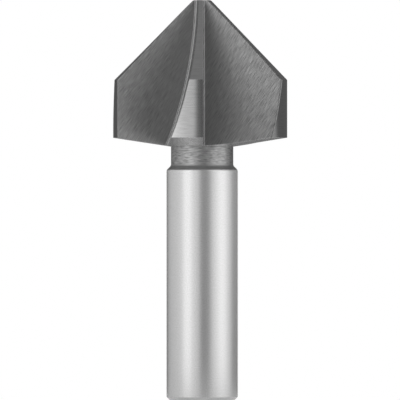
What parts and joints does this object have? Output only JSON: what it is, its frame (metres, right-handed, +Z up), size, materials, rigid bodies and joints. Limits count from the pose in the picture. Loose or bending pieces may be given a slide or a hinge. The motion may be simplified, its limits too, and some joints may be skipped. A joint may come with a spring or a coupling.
{
  "type": "countersink",
  "caption": "Steel countersink bit with a plain round shank, a short turned neck and a wide conical head with ground teeth ending in a small flat tip",
  "frame": {"origin": "centre of the shank's end face, on the tool's axis", "axes": "+Z runs up the axis from the shank end to the tip; one tooth has its cutting edge on the -Y side"},
  "size_m": [0.0244, 0.0245, 0.0562],
  "materials": {
    "tool_steel": "ground"
  },
  "bodies": {
    "root": {"countersink": "tool_steel"}
  },
  "joints": []
}
